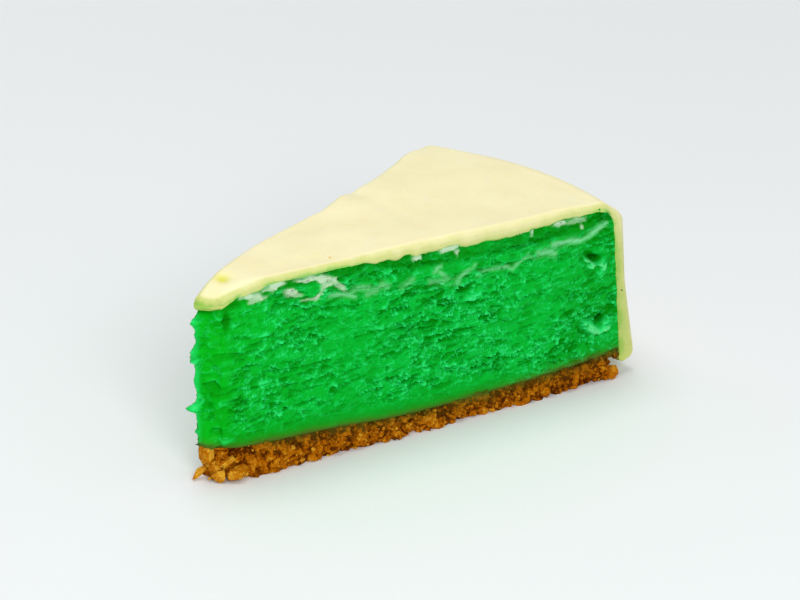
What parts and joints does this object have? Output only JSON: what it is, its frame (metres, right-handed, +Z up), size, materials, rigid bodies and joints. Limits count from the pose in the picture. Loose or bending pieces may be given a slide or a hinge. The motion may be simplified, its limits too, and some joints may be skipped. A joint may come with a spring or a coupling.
{
  "type": "key lime pie slice",
  "caption": "Wedge of bright green key lime pie on a crumb base, with a thin cream seam and cream icing over its top and round side, served as a dessert portion.",
  "frame": {"origin": "on the surface that the slice stands on, under the middle of its bounding box", "axes": "+X along the slice from its blunt tip to its iced round rim, +Z up, +Y from the front cut to the back cut"},
  "size_m": [0.1148, 0.06, 0.0459],
  "materials": {
    "crumb": "dry golden-brown biscuit crumb",
    "lime": "moist satin bright green set filling",
    "seam": "pale green-white smeared cream",
    "lime_top": "moist crumbly deeper green set filling",
    "icing": "smooth satin pale cream icing"
  },
  "bodies": {
    "root": {"crumb_base": "crumb", "lime_filling": "lime", "cream_seam": "seam", "lime_top_layer": "lime_top", "icing_coat": "icing"}
  },
  "joints": []
}
